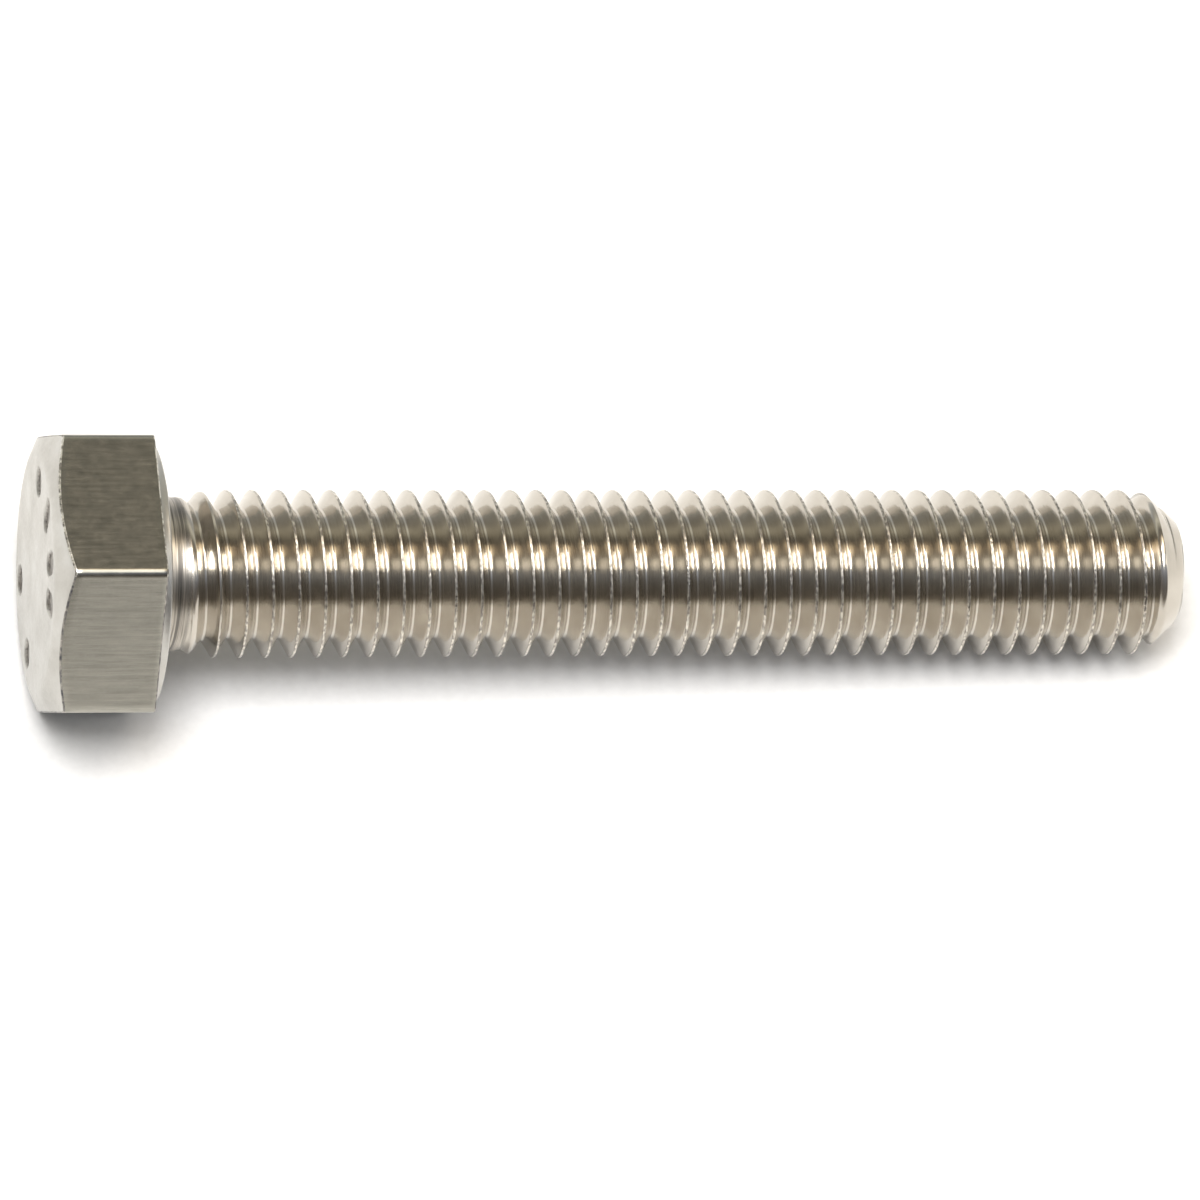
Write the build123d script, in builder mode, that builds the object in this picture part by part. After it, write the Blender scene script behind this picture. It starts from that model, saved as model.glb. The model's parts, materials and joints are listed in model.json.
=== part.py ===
"""Fully threaded hexagon head bolt, M8 x 1.25, 50 mm long under the head.

One forged and thread-rolled piece, so it is one solid. The bolt lies along X: the head
is at -X, the point at +X, and the bearing plane under the head is X = 0. Two flats of
the head are level, so the bolt rests on a flat with +Z up.
"""

import os
from math import atan2, ceil, cos, degrees, radians, sin, tan

from build123d import *

# Driving dimensions, in millimetres and degrees
thread_diameter = 8.0
thread_pitch = 1.25
nominal_length = 50.0
across_flats = 13.0
head_height = 5.5

# Head
washer_face_height = 0.4
washer_face_diameter = 0.965 * across_flats
end_face_diameter = 0.89 * across_flats
head_chamfer_angle = 24.0
corner_round = 0.2
under_head_fillet = 0.05 * thread_diameter

# Shank: the neck is the rolling blank, which the thread rises out of
thread_allowance = 0.07
neck_diameter = thread_diameter - 0.6 * thread_pitch
neck_length = 1.0 * thread_pitch
point_angle = 40.0
point_diameter = 0.65 * thread_diameter

# ISO metric thread form
flank_angle = 60.0
groove_depth = 0.6134 * thread_pitch
crest_flat = thread_pitch / 8
groove_overshoot = 0.08 * thread_pitch

# The groove starts at zero depth above the neck, at +Z, this far from the bearing plane. It
# reaches full depth after the run-out turns, and goes on in stretches of whole turns
groove_phase = 0.546 * thread_pitch
run_out_turns = 2
stretch_turns = 3

# Six generic marks stamped on the end face: bars and dots in two groups, no lettering
mark_depth = 0.12
mark_circle_radius = 0.345 * across_flats
dot_diameter = 0.11 * across_flats
bar_length = 0.15 * across_flats
bar_width = 0.085 * across_flats
dot_angles = (74.0, 183.0, 236.0)
bar_angles = (37.0, 6.0, -18.0)
mark_reference_angle = 120.0

# Worked-out sizes
crest_radius = (thread_diameter - thread_allowance) / 2
neck_radius = neck_diameter / 2
point_radius = point_diameter / 2
point_length = (crest_radius - point_radius) / tan(radians(point_angle))
corner_radius = across_flats / 3**0.5
half_flank = tan(radians(flank_angle / 2))
groove_half_width = (thread_pitch - crest_flat) / 2
root_half_width = groove_half_width - groove_depth * half_flank
mouth_half_width = groove_half_width + groove_overshoot * half_flank
full_thread_start = groove_phase + run_out_turns * thread_pitch
run_out_length = run_out_turns * thread_pitch
stretch_length = stretch_turns * thread_pitch
stretch_count = ceil((nominal_length - full_thread_start + thread_pitch) / stretch_length)
blank_end = full_thread_start + stretch_count * stretch_length + thread_pitch
end_face_x = -head_height
end_face_plane = Plane(
    origin=(end_face_x, 0, 0),
    x_dir=(0, cos(radians(mark_reference_angle)), sin(radians(mark_reference_angle))),
    z_dir=(-1, 0, 0),
)


def groove_corners(centre_x, lift):
    """The corners of the groove's trapezium in the XZ plane, lift above full depth."""
    root_z = crest_radius - groove_depth + lift
    mouth_z = crest_radius + groove_overshoot + lift
    return [
        (centre_x - mouth_half_width, mouth_z),
        (centre_x - root_half_width, root_z),
        (centre_x + root_half_width, root_z),
        (centre_x + mouth_half_width, mouth_z),
    ]


os.makedirs("parts", exist_ok=True)

# A stretch of the groove at full depth, a whole number of turns long
with BuildPart() as full_groove:
    with BuildLine() as groove_path:
        Helix(thread_pitch, stretch_length, crest_radius, (full_thread_start, 0, 0), (1, 0, 0))
    with BuildSketch(Plane.XZ):
        with BuildLine():
            Polyline(*groove_corners(full_thread_start, 0), close=True)
        make_face()
    sweep(path=groove_path.wire(), is_frenet=True)

# The run-out, where the groove grows shallower towards the neck
with BuildPart() as run_out_groove:
    with BuildLine() as run_out_path:
        Helix(
            thread_pitch,
            run_out_length,
            crest_radius + groove_depth,
            (groove_phase, 0, 0),
            (1, 0, 0),
            -degrees(atan2(groove_depth, run_out_length)),
        )
    with BuildSketch(Plane.XZ):
        with BuildLine():
            Polyline(*groove_corners(groove_phase, groove_depth), close=True)
        make_face()
    sweep(path=run_out_path.wire(), is_frenet=True)

with BuildPart() as hex_bolt:
    # Hexagon, with rounded corners along the axis
    with BuildSketch(Plane.YZ.offset(end_face_x)):
        RegularPolygon(across_flats / 2, 6, major_radius=False)
    extrude(amount=head_height - washer_face_height)
    fillet(hex_bolt.edges().filter_by(Axis.X), corner_round)

    # Conical chamfer that leaves a round end face
    chamfer_drop = (corner_radius - end_face_diameter / 2) * tan(radians(head_chamfer_angle))
    with BuildSketch(Plane.XY):
        with BuildLine():
            Polyline(
                (end_face_x, 0),
                (end_face_x, end_face_diameter / 2),
                (end_face_x + chamfer_drop, corner_radius),
                (0, corner_radius),
                (0, 0),
                close=True,
            )
        make_face()
    revolve(axis=Axis.X, mode=Mode.INTERSECT)

    # Shallow stamped marks in the end face, counted from the corner at the reference angle
    with BuildSketch(end_face_plane):
        for angle in dot_angles:
            with PolarLocations(mark_circle_radius, 1, start_angle=angle):
                Circle(dot_diameter / 2)
        for angle in bar_angles:
            with PolarLocations(mark_circle_radius, 1, start_angle=angle):
                SlotOverall(bar_length, bar_width)
    extrude(amount=-mark_depth, mode=Mode.SUBTRACT)

    # Washer face, fillet, neck and thread blank, left long for now
    with BuildSketch(Plane.XY):
        with BuildLine():
            Polyline(
                (-washer_face_height, 0),
                (-washer_face_height, washer_face_diameter / 2),
                (0, washer_face_diameter / 2),
                (0, neck_radius + under_head_fillet),
            )
            RadiusArc(
                (0, neck_radius + under_head_fillet),
                (under_head_fillet, neck_radius),
                -under_head_fillet,
            )
            Polyline(
                (under_head_fillet, neck_radius),
                (neck_length, neck_radius),
                (full_thread_start, crest_radius),
                (blank_end, crest_radius),
                (blank_end, 0),
                (-washer_face_height, 0),
            )
        make_face()
    revolve(axis=Axis.X)

    # Right-hand thread: stretches of groove end to end, then the run-out
    for stretch in range(stretch_count):
        with Locations((stretch * stretch_length, 0, 0)):
            add(full_groove.part, mode=Mode.SUBTRACT)
    add(run_out_groove.part, mode=Mode.SUBTRACT)

    # Cut to length, with a chamfered point
    with BuildSketch(Plane.XY):
        with BuildLine():
            Polyline(
                (nominal_length, 0),
                (nominal_length, point_radius),
                (nominal_length - point_length, crest_radius),
                (nominal_length - point_length, crest_radius + point_length),
                (blank_end + thread_pitch, crest_radius + point_length),
                (blank_end + thread_pitch, 0),
                close=True,
            )
        make_face()
    revolve(axis=Axis.X, mode=Mode.SUBTRACT)

hex_bolt.part.label = "hex_bolt"
export_step(hex_bolt.part, "parts/hex_bolt.step")
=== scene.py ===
"""The hex bolt's looks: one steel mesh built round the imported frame, a floor, lights and a camera.

Lengths are in metres and in the row frame: the bolt lies along X with its bearing plane
at X = 0, and +Z is up.
"""

import json
import math

import bpy
import numpy as np
from mathutils import Matrix, Vector


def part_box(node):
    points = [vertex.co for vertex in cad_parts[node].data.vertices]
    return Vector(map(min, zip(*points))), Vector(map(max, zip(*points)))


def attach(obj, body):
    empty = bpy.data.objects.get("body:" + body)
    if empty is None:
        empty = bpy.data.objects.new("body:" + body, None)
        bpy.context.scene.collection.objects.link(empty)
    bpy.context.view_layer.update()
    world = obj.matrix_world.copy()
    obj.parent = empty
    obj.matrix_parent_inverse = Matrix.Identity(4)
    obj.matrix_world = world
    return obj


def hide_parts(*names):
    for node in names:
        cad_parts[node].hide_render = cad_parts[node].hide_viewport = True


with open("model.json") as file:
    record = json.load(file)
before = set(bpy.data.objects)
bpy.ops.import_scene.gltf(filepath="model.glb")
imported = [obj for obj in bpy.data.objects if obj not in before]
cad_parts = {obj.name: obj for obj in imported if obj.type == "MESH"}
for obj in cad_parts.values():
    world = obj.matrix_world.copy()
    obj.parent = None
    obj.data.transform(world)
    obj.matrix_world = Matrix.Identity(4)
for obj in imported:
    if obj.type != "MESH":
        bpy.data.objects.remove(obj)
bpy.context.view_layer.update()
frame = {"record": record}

MM = 0.001
NODE = "hex_bolt"

# Sizes that come from the frame
box_low, box_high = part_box(NODE)
mounts = {mount["name"]: mount for mount in frame["record"]["mounts"]}
head_end = box_low.x
point_end = box_high.x
flat_radius = box_high.z
crest_radius = mounts["thread"]["dims"]["r_mm"] * MM

# Head, as on the CAD part, but with rounder corners and edges, which catch the light
corner_round = 0.42 * MM
rim_radius = 0.89 * flat_radius
rim_round = 1.2 * MM
chamfer_angle = math.radians(24)
edge_round = 0.07 * MM
washer_height = 0.4 * MM
washer_radius = 0.965 * flat_radius
washer_round = 0.1 * MM
head_joint_radius = washer_radius - 2.5 * washer_round
shank_joint_radius = washer_radius - 4 * washer_round

# Shank, as on the CAD part. The frame doesn't hold its pitch, so it is repeated here
pitch = 1.25 * MM
neck_radius = 3.625 * MM
neck_fillet = 0.4 * MM
run_out_start = 1.1 * MM
run_out_length = 2.2 * MM
point_radius = 2.6 * MM
point_slope = math.tan(math.radians(40.0))
point_length = (crest_radius - point_radius) / point_slope
point_blend = 0.06 * MM
point_centre_radius = 0.2 * point_radius
groove_phase = 0.546 * pitch

# Thread form. The seam is the small fold that rolling leaves along the crest
crest_half = 0.03 * MM
crest_round = 0.035 * MM
root_round = 0.12 * MM
seam_depth = 0.012 * MM
seam_share = 0.6
seam_rate = 0.9
flank_angle = math.radians(60)

# Stamped marks, counted from the corner that faces up and to the front
mark_circle = 0.69 * flat_radius
mark_depth = 0.14 * MM
mark_wall = 0.07 * MM
dot_radius = 0.11 * flat_radius
bar_half_length = 0.15 * flat_radius
bar_half_width = 0.085 * flat_radius
dot_angles = (74, 183, 236)
bar_angles = (37, 6, -18)
mark_reference = 120

# Mesh resolution: counts, and spacings round the head in degrees
TURN_STEPS = 90
FIRST_TURN = -2
ROUND_POINTS = 4
FLAT_RINGS = 9
PLAIN_RINGS = 6
MARK_RINGS = 48
RIM_RINGS = 8
MARK_DIRECTIONS = 25
CORNER_SPACING = (0, 0.25, 0.5, 0.77, 1.1, 1.8, 3)
PLAIN_SPACING = 3.0
LEAST_SPACING = 0.15

# Area lights: name, direction from the bolt, size along X and across it, power in watts, colour
LIGHT_DISTANCE = 0.7
LIGHTS = (
    ("key", (-0.29, -0.17, 1), (0.26, 0.32), 4.5, (1.0, 0.99, 0.98)),
    ("fill", (0.09, -0.1, 1), (0.30, 0.42), 0.9, (1.0, 0.97, 0.93)),
    ("warm", (0.22, 0.2, 1), (0.40, 0.22), 0.5, (1.0, 0.84, 0.62)),
    ("side", (0.74, -0.14, 0.66), (0.35, 0.17), 0.4, (1.0, 0.98, 0.93)),
)

# The studio round the bolt, from the front horizon (0) over the top (0.5) to the back one (1).
# Its tones are chosen for the bands that polished steel reflects
STUDIO = (
    (0.0, (0.84, 0.81, 0.76)),
    (0.02, (0.76, 0.73, 0.68)),
    (0.043, (0.38, 0.34, 0.29)),
    (0.066, (0.16, 0.14, 0.12)),
    (0.2, (0.19, 0.185, 0.185)),
    (0.27, (0.26, 0.275, 0.31)),
    (0.33, (0.42, 0.455, 0.53)),
    (0.4, (0.36, 0.36, 0.36)),
    (0.54, (0.55, 0.49, 0.41)),
    (0.59, (0.56, 0.45, 0.32)),
    (0.63, (0.23, 0.205, 0.17)),
    (0.68, (0.20, 0.192, 0.17)),
    (0.735, (0.60, 0.58, 0.49)),
    (0.78, (0.92, 0.90, 0.78)),
    (0.85, (0.56, 0.555, 0.51)),
    (0.92, (0.50, 0.51, 0.505)),
    (1.0, (0.70, 0.74, 0.76)),
)

# Camera: angles in degrees, and its lens and sensor in millimetres. It aims beside the axis
camera_azimuth = -24.0
camera_elevation = 57.4
camera_roll = 20.4
camera_distance = 0.4303
camera_lens = 270.6
camera_sensor = 36.0
aim_along = 21.75 * MM
aim_up = -1.28 * MM
floor_half_side = 1.5


def smooth_step(value, low, high):
    """0 below low, 1 above high, and a smooth ramp between."""
    share = np.clip((value - low) / (high - low), 0, 1)
    return share * share * (3 - 2 * share)


def smooth_min(first, second, blend):
    """The smaller of the two, with the change-over rounded over blend."""
    share = np.clip(0.5 + (second - first) / (2 * blend), 0, 1)
    return second + (first - second) * share - blend * share * (1 - share)


def on_circle(radius, angle):
    """Y and Z of points at this radius, with angles counted from +Y towards +Z."""
    return radius * np.cos(angle), radius * np.sin(angle)


class MeshParts:
    """Collects points and faces, with a material number for each face."""

    def __init__(self):
        self.points, self.faces, self.numbers = [], [], []

    def add_ring(self, x, radius, angles):
        """Adds one ring of points and gives their numbers."""
        first = len(self.points)
        y, z = on_circle(np.broadcast_to(radius, angles.shape), angles)
        self.points += zip(np.broadcast_to(x, angles.shape).tolist(), y.tolist(), z.tolist())
        return list(range(first, first + len(angles)))

    def add_face(self, corners, number):
        self.faces.append(corners)
        self.numbers.append(number)

    def join_rings(self, low, high, number):
        """Faces between two closed rings of the same length, low being nearer the head's end."""
        for here in range(len(low)):
            ahead = (here + 1) % len(low)
            self.add_face((low[here], low[ahead], high[ahead], high[here]), number)

    def zip_rings(self, low, low_angles, high, high_angles, number):
        """Triangles between two closed rings of different lengths."""
        i = j = 0
        while i < len(low) or j < len(high):
            next_low = low_angles[i + 1] if i + 1 < len(low) else low_angles[0] + math.tau
            next_high = high_angles[j + 1] if j + 1 < len(high) else high_angles[0] + math.tau
            here_low, here_high = low[i % len(low)], high[j % len(high)]
            if j == len(high) or (i < len(low) and next_low <= next_high):
                i += 1
                self.add_face((here_low, low[i % len(low)], here_high), number)
            else:
                j += 1
                self.add_face((here_low, high[j % len(high)], here_high), number)

    def close_with_point(self, ring, x, number, outward):
        """A fan from the ring to its centre. outward is the sign of the end's X direction."""
        centre = len(self.points)
        self.points.append((x, 0.0, 0.0))
        for here in range(len(ring)):
            pair = (ring[here], ring[(here + 1) % len(ring)])
            self.add_face((centre, *pair) if outward > 0 else (centre, *pair[::-1]), number)

    def to_object(self, name, materials):
        """The collected faces as a smooth-shaded object in the scene."""
        mesh = bpy.data.meshes.new(name)
        mesh.from_pydata(self.points, [], self.faces)
        for material in materials:
            mesh.materials.append(material)
        mesh.polygons.foreach_set("material_index", self.numbers)
        mesh.polygons.foreach_set("use_smooth", [True] * len(self.faces))
        mesh.update()
        made = bpy.data.objects.new(name, mesh)
        bpy.context.scene.collection.objects.link(made)
        return made


END_FACE, FLATS, THREAD, EDGE = range(4)


def hexagon_radius(angles):
    """The hexagon's radius in each direction, with its corners rounded."""
    from_corner = (angles + math.pi / 6) % (math.pi / 3) - math.pi / 6
    corner_centre = (flat_radius - corner_round) / math.cos(math.pi / 6)
    flat = flat_radius / np.cos(math.pi / 6 - np.abs(from_corner))
    inside = np.maximum(corner_round**2 - (corner_centre * np.sin(from_corner)) ** 2, 0)
    rounded = corner_centre * np.cos(from_corner) + np.sqrt(inside)
    touch = math.atan2(
        corner_round * math.sin(math.pi / 6),
        corner_centre + corner_round * math.cos(math.pi / 6),
    )
    return np.where(np.abs(from_corner) < touch, rounded, flat)


def mark_centres():
    """Each mark as (angle on the head, half length along the radius, half width)."""
    dots = [(angle, dot_radius, dot_radius) for angle in dot_angles]
    bars = [(angle, bar_half_length, bar_half_width) for angle in bar_angles]
    return [(math.radians(mark_reference - a), length, width) for a, length, width in dots + bars]


def mark_recess(radius, angles):
    """How deep the stamped marks are at these points of the end face."""
    y, z = on_circle(radius, angles)
    deepest = np.zeros_like(angles)
    for angle, half_length, half_width in mark_centres():
        along = y * math.cos(angle) + z * math.sin(angle) - mark_circle
        across = -y * math.sin(angle) + z * math.cos(angle)
        reach = np.maximum(np.abs(along) - (half_length - half_width), 0)
        distance = np.hypot(reach, across) - half_width
        recess = 1 - smooth_step(distance, -mark_wall / 2, mark_wall / 2)
        deepest = np.maximum(deepest, recess)
    return deepest * mark_depth


def head_angles():
    """Directions round the head: close together at the corners and across the marks."""
    found = set()
    for corner in range(6):
        for step in np.radians(CORNER_SPACING):
            found |= {corner * math.pi / 3 + step, corner * math.pi / 3 - step}
    for angle, half_length, half_width in mark_centres():
        reach = (half_width + mark_wall) / mark_circle
        found |= set(angle + np.linspace(-reach, reach, MARK_DIRECTIONS))
    found |= set(np.radians(np.arange(0, 360, PLAIN_SPACING)))
    listed = sorted(angle % math.tau for angle in found)
    kept = [listed[0]]
    for angle in listed[1:]:
        if angle - kept[-1] > math.radians(LEAST_SPACING):
            kept.append(angle)
    return np.array(kept)


def end_drop(radius):
    """How far the end lies below its flat middle: a soft rim, then the conical chamfer."""
    reach = rim_round * math.tan(chamfer_angle / 2)
    cone = (radius - rim_radius) * math.tan(chamfer_angle)
    inside = np.clip(radius - (rim_radius - reach), 0, rim_round * math.sin(chamfer_angle))
    rounded = rim_round - np.sqrt(rim_round**2 - inside**2)
    past_rim = radius > rim_radius + reach * math.cos(chamfer_angle)
    return np.where(past_rim, cone, rounded)


def end_face_radii():
    """Radii of the end face's round rings, close together across the marks."""
    reach = bar_half_length + mark_wall
    plain = np.linspace(0.06, 0.9, PLAIN_RINGS) * (mark_circle - reach)
    marked = np.linspace(mark_circle - reach, mark_circle + reach, MARK_RINGS)
    rim = np.linspace(mark_circle + reach, 0.955 * flat_radius, RIM_RINGS)[1:]
    return np.concatenate([plain, marked, rim])


def add_head(mesh):
    """The head from its end face round to the washer face. Gives its last ring and angles."""
    angles = head_angles()
    outline = hexagon_radius(angles)
    rings = []

    def ring(x, radius, number):
        rings.append((mesh.add_ring(x, radius, angles), number))

    # End face with its marks and soft rim, then the chamfer out to the hexagon
    round_radii = end_face_radii()
    for radius in round_radii:
        ring(head_end + end_drop(radius) + mark_recess(radius, angles), radius, END_FACE)
    for share in (0.33, 0.67):
        radius = round_radii[-1] + share * (outline - edge_round - round_radii[-1])
        ring(head_end + end_drop(radius), radius, END_FACE)

    # Sheared edge between chamfer and flats, rounded by a ring on each side of its corner
    edge_x = head_end + end_drop(outline)
    ring(head_end + end_drop(outline - edge_round), outline - edge_round, END_FACE)
    ring(edge_x + 0.1 * edge_round, outline - 0.35 * edge_round, EDGE)
    ring(edge_x + edge_round, outline, EDGE)

    # Flats, and the lower edge round to the underside
    under = -washer_height
    for share in np.linspace(0.08, 0.95, FLAT_RINGS):
        ring(edge_x + edge_round + share * (under - 2 * edge_round - edge_x), outline, FLATS)
    ring(under - edge_round, outline, FLATS)
    ring(under - 0.3 * edge_round, outline - 0.3 * edge_round, EDGE)
    ring(under, outline - edge_round, EDGE)

    # Underside, then the washer face with its rounded rim
    ring(under, washer_radius + 0.5 * edge_round, FLATS)
    ring(under + 0.3 * edge_round, washer_radius + 0.1 * edge_round, END_FACE)
    for turn in np.linspace(0, math.pi / 2, ROUND_POINTS):
        ring(
            -washer_round + washer_round * math.sin(turn),
            washer_radius - washer_round + washer_round * math.cos(turn),
            END_FACE,
        )
    last = mesh.add_ring(0, head_joint_radius, angles)
    rings.append((last, END_FACE))
    mesh.close_with_point(rings[0][0], head_end, END_FACE, -1)
    for (low, _), (high, number) in zip(rings, rings[1:]):
        mesh.join_rings(low, high, number)
    return last, angles


def thread_profile():
    """One pitch of the thread from root to root, as (distance along, height above the root)."""
    rounded = (crest_round + root_round) * math.sin(flank_angle)
    flank = (pitch / 2 - crest_half - rounded) / math.cos(flank_angle)
    along, height = [0.0], [0.0]
    for turn in np.linspace(0, flank_angle, ROUND_POINTS)[1:]:
        along.append(root_round * math.sin(turn))
        height.append(root_round * (1 - math.cos(turn)))
    for _ in range(2):
        along.append(along[-1] + flank / 2 * math.cos(flank_angle))
        height.append(height[-1] + flank / 2 * math.sin(flank_angle))
    foot, low = along[-1], height[-1]
    for turn in np.linspace(flank_angle, 0, ROUND_POINTS)[1:]:
        along.append(foot + crest_round * (math.sin(flank_angle) - math.sin(turn)))
        height.append(low + crest_round * (math.cos(turn) - math.cos(flank_angle)))
    along.append(pitch / 2)
    height.append(height[-1])
    half_along, half_height = np.array(along), np.array(height)
    full_along = np.concatenate([half_along, pitch - half_along[-2:0:-1]])
    full_height = np.concatenate([half_height, half_height[-2:0:-1]])
    return full_along, full_height


def unevenness(place):
    """A fixed wavy value from -1 to 1, for rolled metal that isn't quite regular."""
    waves = ((1.0, 0.3), (2.7, 1.9), (5.3, 4.1), (11.9, 0.7))
    total = sum(np.sin(rate * place + shift) / rate**0.5 for rate, shift in waves)
    return total / sum(1 / rate**0.5 for rate, _ in waves)


def shank_point(travel, height, depth, step):
    """X and radius at a distance along the shank's outline, from washer face to point face."""
    full = crest_radius - depth + height
    seam = seam_depth * smooth_step(height, 0.999 * depth, depth)
    full = full - seam * (seam_share + seam_share * unevenness(step * seam_rate))
    grown = np.sin(math.pi / 2 * np.clip((travel - run_out_start) / run_out_length, 0, 1))
    radius = neck_radius + (full - neck_radius) * grown
    radius = smooth_min(radius, point_radius + point_slope * (point_end - travel), point_blend)
    shrink = np.exp(-np.maximum(travel - point_end, 0) / point_radius)
    radius = np.where(travel > point_end, point_radius * shrink, radius)
    x = np.minimum(travel, point_end)
    turn = np.clip((neck_fillet - travel) / neck_fillet, 0, math.pi / 2)
    x = np.where(turn > 0, neck_fillet * (1 - np.sin(turn)), x)
    radius = np.where(turn > 0, neck_radius + neck_fillet * (1 - np.cos(turn)), radius)
    past = neck_fillet * (1 - math.pi / 2) - travel
    x = np.where(past > 0, 0, x)
    radius = np.where(past > 0, neck_radius + neck_fillet + past, radius)
    return x, radius


def add_shank(mesh):
    """Neck, thread and point as one helical grid. Gives its first ring and angles."""
    along, height = thread_profile()
    samples = len(along)
    depth = height.max()
    turns = math.ceil((point_end - groove_phase) / pitch) - FIRST_TURN + 1
    rows = turns * TURN_STEPS
    steps = np.arange(rows + TURN_STEPS + 1)
    angles = math.pi / 2 + steps * math.tau / TURN_STEPS
    start = groove_phase + FIRST_TURN * pitch + steps * pitch / TURN_STEPS
    travel = start[:, None] + along[None, :]
    x, radius = shank_point(travel, height[None, :], depth, steps[:, None])
    y, z = on_circle(radius, angles[:, None])
    kept = np.ones((len(steps), samples), bool)
    kept[rows + 1 :, 1:] = False
    number = np.cumsum(kept).reshape(kept.shape) - 1 + len(mesh.points)
    mesh.points += np.stack([x, y, z], -1)[kept].tolist()

    def at(row, sample):
        return int(number[row, sample] if sample < samples else number[row + TURN_STEPS, 0])

    for row in range(rows):
        for sample in range(samples):
            near = (at(row, sample), at(row + 1, sample))
            far = (at(row + 1, sample + 1), at(row, sample + 1))
            mesh.add_face((*near, *far), THREAD)
    ring_angles = math.pi / 2 + np.arange(TURN_STEPS) * math.tau / TURN_STEPS
    joint = mesh.add_ring(0, shank_joint_radius, ring_angles)
    inner = mesh.add_ring(point_end, point_centre_radius, ring_angles)
    for here in range(TURN_STEPS - 1):
        mesh.add_face((joint[here], joint[here + 1], at(here + 1, 0), at(here, 0)), THREAD)
    for here in range(1, TURN_STEPS - 1):
        mesh.add_face(
            (at(rows + here, 0), at(rows + here + 1, 0), inner[here + 1], inner[here]), THREAD
        )
    first_column = [at(0, sample) for sample in range(samples + 1)]
    last_column = [at(rows, sample) for sample in range(samples + 1)]
    mesh.add_face((joint[-1], joint[0], *first_column, at(TURN_STEPS - 1, 0)), THREAD)
    mesh.add_face((at(rows + 1, 0), inner[1], inner[0], *last_column[::-1]), THREAD)
    mesh.add_face((at(rows + TURN_STEPS - 1, 0), last_column[-1], inner[0], inner[-1]), THREAD)
    mesh.close_with_point(inner, point_end, THREAD, 1)
    return joint, ring_angles


def build_bolt(materials):
    """The whole bolt as one closed mesh in place of the CAD node."""
    mesh = MeshParts()
    head_ring, head_ring_angles = add_head(mesh)
    joint, joint_angles = add_shank(mesh)
    order = np.argsort(joint_angles % math.tau)
    mesh.zip_rings(
        head_ring,
        head_ring_angles,
        [joint[i] for i in order],
        (joint_angles % math.tau)[order],
        END_FACE,
    )
    bolt = mesh.to_object("bolt_body", materials)
    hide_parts(NODE)
    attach(bolt, "root")


class Nodes:
    """A short way to add and link nodes."""

    def __init__(self, tree):
        self.tree = tree

    def node(self, kind, settings=None, **inputs):
        """Adds a node. settings are its own properties, inputs its sockets' values or links."""
        made = self.tree.nodes.new(kind)
        for name, value in (settings or {}).items():
            setattr(made, name, value)
        for name, value in inputs.items():
            self.put(made.inputs[name], value)
        return made

    def put(self, socket, value):
        if isinstance(value, bpy.types.NodeSocket):
            self.tree.links.new(value, socket)
        else:
            socket.default_value = value

    def math(self, operation, first, second=0.0):
        made = self.node("ShaderNodeMath", {"operation": operation})
        self.put(made.inputs[0], first)
        self.put(made.inputs[1], second)
        return made.outputs[0]

    def position(self):
        return self.node("ShaderNodeTexCoord").outputs["Object"]

    def scaled(self, vector, scale):
        made = self.node("ShaderNodeMapping", None, Vector=vector, Scale=scale)
        return made.outputs["Vector"]

    def noise(self, vector, detail=3.0, roughness=0.55):
        settings = {"Scale": 1.0, "Detail": detail, "Roughness": roughness}
        return self.node("ShaderNodeTexNoise", None, Vector=vector, **settings).outputs["Fac"]

    def ramp(self, value, stops):
        """A colour ramp through (place, grey or colour) stops."""
        made = self.node("ShaderNodeValToRGB", None, Fac=value)
        band = made.color_ramp
        while len(band.elements) < len(stops):
            band.elements.new(0.5)
        for element, (place, colour) in zip(band.elements, stops):
            element.position = place
            shade = colour if isinstance(colour, tuple) else (colour,) * 3
            element.color = (*shade, 1)
        return made.outputs["Color"]

    def radius(self, parts):
        """Distance from the bolt's axis."""
        across = self.math("POWER", parts.outputs["Y"], 2.0)
        upright = self.math("POWER", parts.outputs["Z"], 2.0)
        return self.math("SQRT", self.math("ADD", across, upright))

    def between(self, value, low, high):
        """0 at low, 1 at high."""
        limits = {"From Min": low, "From Max": high}
        return self.node("ShaderNodeMapRange", None, Value=value, **limits).outputs["Result"]

    def mix(self, share, first, second):
        """A colour between two others."""
        made = self.node("ShaderNodeMix", {"data_type": "RGBA"})
        sockets = {socket.identifier: socket for socket in made.inputs}
        self.put(sockets["Factor_Float"], share)
        self.put(sockets["A_Color"], first)
        self.put(sockets["B_Color"], second)
        return next(socket for socket in made.outputs if socket.identifier == "Result_Color")

    def bump(self, height, distance, strength=1.0, below=None):
        made = self.node(
            "ShaderNodeBump", None, Height=height, Distance=distance, Strength=strength
        )
        if below is not None:
            self.put(made.inputs["Normal"], below)
        return made.outputs["Normal"]


class Shader(Nodes):
    """The nodes of one material, and its Principled surface."""

    def __init__(self, name):
        self.material = bpy.data.materials.new(name)
        self.material.use_nodes = True
        super().__init__(self.material.node_tree)
        self.surface = self.tree.nodes["Principled BSDF"]

    def finish(self, colour, roughness, normal, metallic=1.0):
        """Links the surface's main sockets and gives the material."""
        self.put(self.surface.inputs["Base Color"], colour)
        self.put(self.surface.inputs["Roughness"], roughness)
        self.put(self.surface.inputs["Metallic"], metallic)
        self.put(self.surface.inputs["Normal"], normal)
        return self.material


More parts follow.
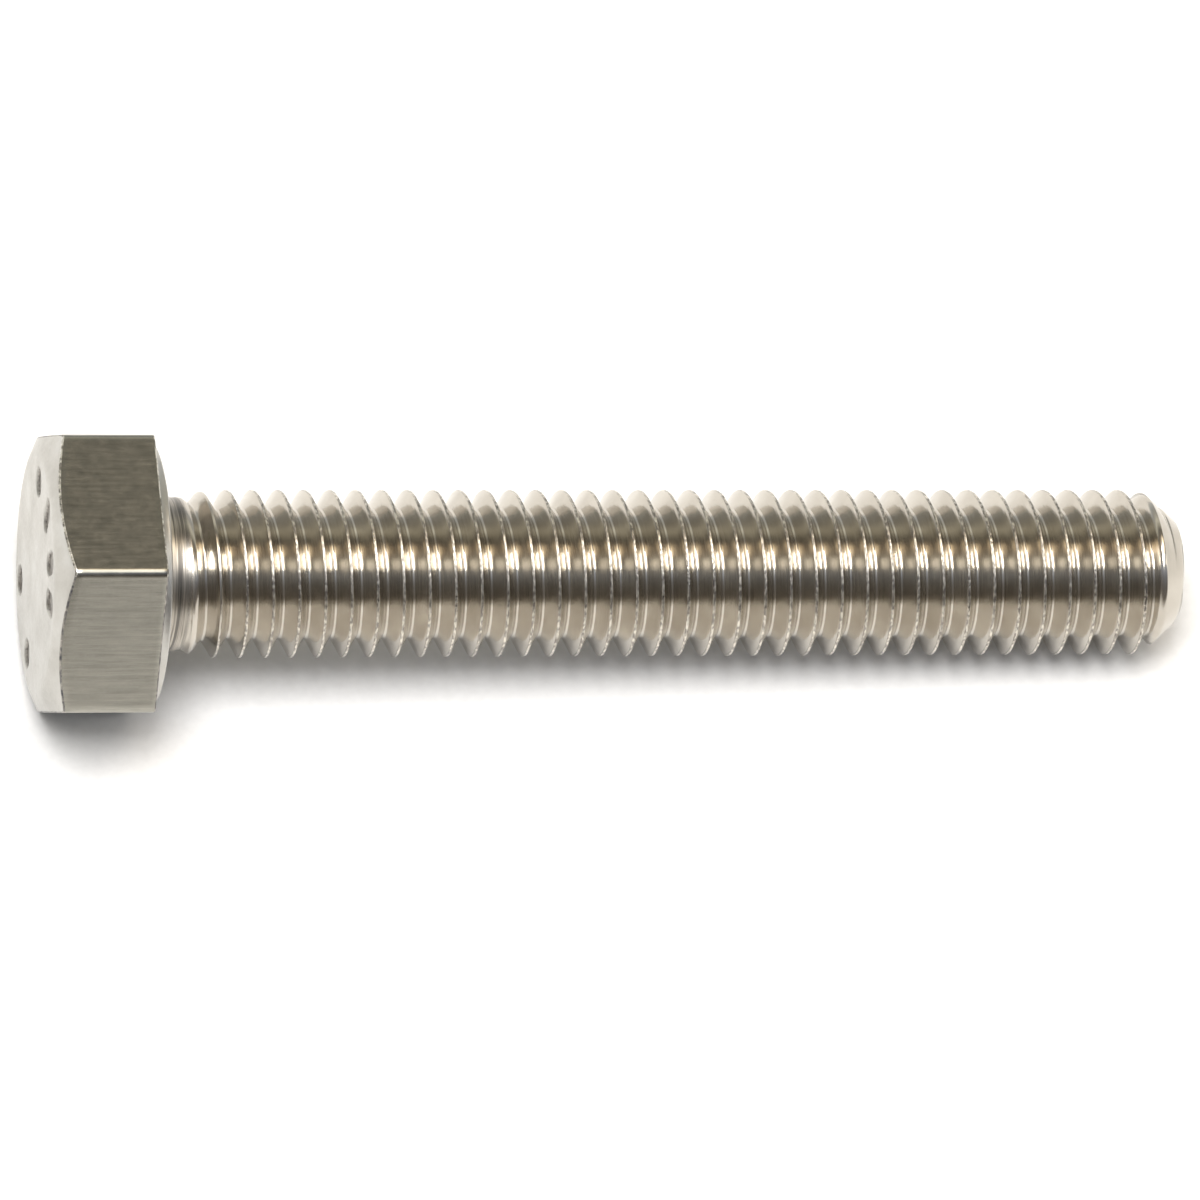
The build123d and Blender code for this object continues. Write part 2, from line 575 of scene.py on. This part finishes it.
def steel_end_face():
    """Forged and tumbled face: pale, satin, with fine dimples and faint stains, and painted shade
    darkening the stamped marks.
    """
    s = Shader("forged_steel")
    stained, plain, bright = (0.43, 0.42, 0.39), (0.51, 0.50, 0.47), (0.58, 0.575, 0.55)
    mark_shade_dark, worn = (0.10, 0.09, 0.085), (0.34, 0.32, 0.29)
    place = s.position()
    grain = s.noise(s.scaled(place, (7000, 7000, 7000)), 4)
    patches = s.noise(s.scaled(place, (420, 420, 420)), 4)
    clean = s.ramp(patches, ((0.3, stained), (0.5, plain), (0.7, bright)))
    parts = s.node("ShaderNodeSeparateXYZ", None, Vector=place)
    # Painted shade: inside the recessed marks the colour turns from grey to near black as they
    # deepen.
    inside = s.math("LESS_THAN", s.radius(parts), mark_circle + bar_half_length + mark_wall)
    sunk = s.between(parts.outputs["X"], head_end + 0.01 * MM, head_end + mark_depth)
    painted_mark_shade = s.ramp(grain, ((0.35, mark_shade_dark), (0.6, worn)))
    colour = s.mix(s.math("MULTIPLY", inside, sunk), clean, painted_mark_shade)
    roughness = s.ramp(grain, ((0.3, 0.3), (0.75, 0.46)))
    wavy = s.bump(patches, 0.06 * MM, 0.6)
    return s.finish(colour, roughness, s.bump(grain, 0.007 * MM, 0.6, wavy))


def steel_flats():
    """Drawn flats: faint streaks along the bolt, with darker spots and mottling."""
    s = Shader("drawn_steel")
    dark, plain, pale = (0.25, 0.245, 0.215), (0.32, 0.312, 0.275), (0.39, 0.375, 0.33)
    place = s.position()
    streaks = s.noise(s.scaled(place, (380, 6000, 6000)), 5, 0.6)
    mottle = s.noise(s.scaled(place, (1400, 2000, 2000)), 5, 0.65)
    fine = s.noise(s.scaled(place, (9000, 9000, 9000)), 2, 0.5)
    coarse = s.math("ADD", s.math("MULTIPLY", streaks, 0.55), s.math("MULTIPLY", mottle, 0.3))
    tone = s.math("ADD", coarse, s.math("MULTIPLY", fine, 0.15))
    colour = s.ramp(tone, ((0.32, dark), (0.5, plain), (0.68, pale)))
    roughness = s.ramp(mottle, ((0.3, 0.2), (0.7, 0.26)))
    worn = s.bump(mottle, 0.01 * MM, 0.12)
    return s.finish(colour, roughness, s.bump(streaks, 0.006 * MM, 0.3, worn))


def steel_edge():
    """Sheared edges, lit and shaded in paint: along the upper flat, burr specks brightened as a
    painted highlight; elsewhere a dark line of painted shade.
    """
    s = Shader("sheared_edge_painted_light")
    black, grey = (0.10, 0.10, 0.11), (0.40, 0.38, 0.34)
    dull, pale, bright = (0.20, 0.19, 0.17), (0.55, 0.53, 0.47), (0.9, 0.88, 0.82)
    place = s.position()
    specks = s.noise(s.scaled(place, (3600, 3600, 3600)), 3, 0.6)
    edge_shade_line = s.ramp(specks, ((0.35, black), (0.65, grey)))
    burr_and_highlight = s.ramp(specks, ((0.4, dull), (0.5, pale), (0.58, bright)))
    parts = s.node("ShaderNodeSeparateXYZ", None, Vector=place)
    # Painted highlight on the top edge only, where the lights fall; the other edges get painted
    # shade.
    lit_top = s.math("GREATER_THAN", parts.outputs["Z"], 0.97 * flat_radius)
    roughness = s.ramp(specks, ((0.35, 0.5), (0.65, 0.25)))
    return s.finish(s.mix(lit_top, edge_shade_line, burr_and_highlight), roughness, s.bump(specks, 0.06 * MM, 0.6))


def steel_thread():
    """Rolled thread: burnished flanks lined round the helix, a speckled seam, a turned neck."""
    s = Shader("rolled_steel")
    stained, clean = (0.48, 0.445, 0.39), (0.58, 0.545, 0.485)
    seam_dark, seam_plain, seam_bright = (0.24, 0.22, 0.20), (0.45, 0.42, 0.37), (0.74, 0.70, 0.62)
    turned_dark, turned_pale = (0.16, 0.15, 0.135), (0.50, 0.46, 0.40)
    place = s.position()
    parts = s.node("ShaderNodeSeparateXYZ", None, Vector=place)
    along = parts.outputs["X"]
    radius = s.radius(parts)
    helix = s.node(
        "ShaderNodeCombineXYZ",
        None,
        X=s.math("MULTIPLY", radius, 16000.0),
        Y=s.math("MULTIPLY", along, 500.0),
        Z=s.math("MULTIPLY", s.math("ADD", parts.outputs["Y"], parts.outputs["Z"]), 250.0),
    ).outputs["Vector"]
    lines = s.noise(helix, 4, 0.6)
    rings = s.noise(s.scaled(place, (6000, 150, 150)), 3, 0.7)
    speckle = s.noise(s.scaled(place, (9000, 4500, 4500)), 3, 0.6)
    stain = s.noise(s.scaled(place, (500, 700, 700)), 3)
    crest = s.between(radius, crest_radius - 0.035 * MM, crest_radius - 0.02 * MM)
    neck = s.between(along, run_out_start + 0.5 * MM, run_out_start)
    point = s.between(along, point_end - point_length, point_end - 0.8 * point_length)
    flank = s.ramp(stain, ((0.3, stained), (0.7, clean)))
    seam = s.ramp(speckle, ((0.4, seam_dark), (0.5, seam_plain), (0.6, seam_bright)))
    turned = s.ramp(rings, ((0.4, turned_dark), (0.6, turned_pale)))
    smooth = s.ramp(lines, ((0.3, 0.12), (0.7, 0.23)))
    rough = s.math("ADD", s.math("MULTIPLY", crest, 0.12), s.math("MULTIPLY", neck, 0.16))
    lathe = s.math("ADD", neck, s.math("MULTIPLY", point, 0.6))
    fine = s.bump(lines, 0.006 * MM, 0.6)
    grooves = s.bump(s.math("MULTIPLY", rings, lathe), 0.02 * MM, 0.4, fine)
    return s.finish(
        s.mix(neck, s.mix(crest, flank, seam), turned),
        s.math("ADD", smooth, rough),
        s.bump(s.math("MULTIPLY", speckle, crest), 0.03 * MM, 0.8, grooves),
    )


def paper_floor():
    """Matt white card with a faint tooth."""
    s = Shader("floor_card")
    tooth = s.noise(s.scaled(s.position(), (2500, 2500, 2500)), 3)
    s.put(s.surface.inputs["Specular IOR Level"], 0.2)
    white = s.ramp(tooth, ((0.3, 0.86), (0.7, 0.9)))
    return s.finish(white, 0.85, s.bump(tooth, 0.02 * MM, 0.2), metallic=0.0)


def add_floor():
    """The floor tilts to touch both the head's edge and the thread by the point."""
    heel = (-washer_height, -flat_radius)
    toe = (point_end - point_length, -crest_radius)
    slope = math.atan2(toe[1] - heel[1], toe[0] - heel[0])
    half = floor_half_side
    mesh = bpy.data.meshes.new("floor")
    corners = []
    for side_x, side_y in ((-1, -1), (1, -1), (1, 1), (-1, 1)):
        x = heel[0] + side_x * half * math.cos(slope)
        z = heel[1] + side_x * half * math.sin(slope)
        corners.append((x, side_y * half, z))
    mesh.from_pydata(corners, [], [(0, 1, 2, 3)])
    mesh.materials.append(paper_floor())
    floor = bpy.data.objects.new("floor", mesh)
    bpy.context.scene.collection.objects.link(floor)


def add_area_light(name, way, size, power, colour):
    """A soft rectangular light, sides along X and across it, facing the middle of the bolt."""
    data = bpy.data.lights.new(name, "AREA")
    data.shape = "RECTANGLE"
    data.size, data.size_y = size
    data.energy = power
    data.color = colour
    light = bpy.data.objects.new(name, data)
    back = Vector(way).normalized()
    side = (Vector((1, 0, 0)) - back.x * back).normalized()
    upright = back.cross(side)
    middle = Vector(((head_end + point_end) / 2, 0, 0))
    turned = Matrix((side, upright, back)).transposed().to_4x4()
    light.matrix_world = Matrix.Translation(middle + LIGHT_DISTANCE * back) @ turned
    bpy.context.scene.collection.objects.link(light)


def add_world():
    """A studio whose tone depends only on the angle round the bolt's axis."""
    world = bpy.data.worlds.new("studio")
    bpy.context.scene.world = world
    world.use_nodes = True
    nodes = Nodes(world.node_tree)
    place = nodes.node("ShaderNodeTexCoord").outputs["Generated"]
    parts = nodes.node("ShaderNodeSeparateXYZ", None, Vector=place)
    front = nodes.math("MULTIPLY", parts.outputs["Y"], -1.0)
    turn = nodes.math("ARCTAN2", parts.outputs["Z"], front)
    tone = nodes.ramp(nodes.math("DIVIDE", turn, math.pi), STUDIO)
    background = world.node_tree.nodes["Background"]
    nodes.put(background.inputs["Color"], tone)
    nodes.put(background.inputs["Strength"], 1.0)


def add_camera():
    """A long lens from above, in front and on the head's side, rolled to level the bolt."""
    azimuth = math.radians(camera_azimuth)
    elevation = math.radians(camera_elevation)
    roll = math.radians(camera_roll)
    data = bpy.data.cameras.new("camera")
    data.lens, data.sensor_width = camera_lens, camera_sensor
    data.clip_start, data.clip_end = 0.01, 20
    camera = bpy.data.objects.new("camera", data)
    back = Vector(
        (
            math.sin(azimuth) * math.cos(elevation),
            -math.cos(azimuth) * math.cos(elevation),
            math.sin(elevation),
        )
    )
    level = Vector((math.cos(azimuth), math.sin(azimuth), 0))
    upright = back.cross(level)
    right = math.cos(roll) * level + math.sin(roll) * upright
    up = math.cos(roll) * upright - math.sin(roll) * level
    place = Vector((aim_along, 0, 0)) + aim_up * up + camera_distance * back
    turned = Matrix((right, up, back)).transposed().to_4x4()
    camera.matrix_world = Matrix.Translation(place) @ turned
    bpy.context.scene.collection.objects.link(camera)
    bpy.context.scene.camera = camera


build_bolt([steel_end_face(), steel_flats(), steel_thread(), steel_edge()])
add_floor()
add_world()
for light in LIGHTS:
    add_area_light(*light)
add_camera()
bpy.context.scene.view_settings.view_transform = "Standard"
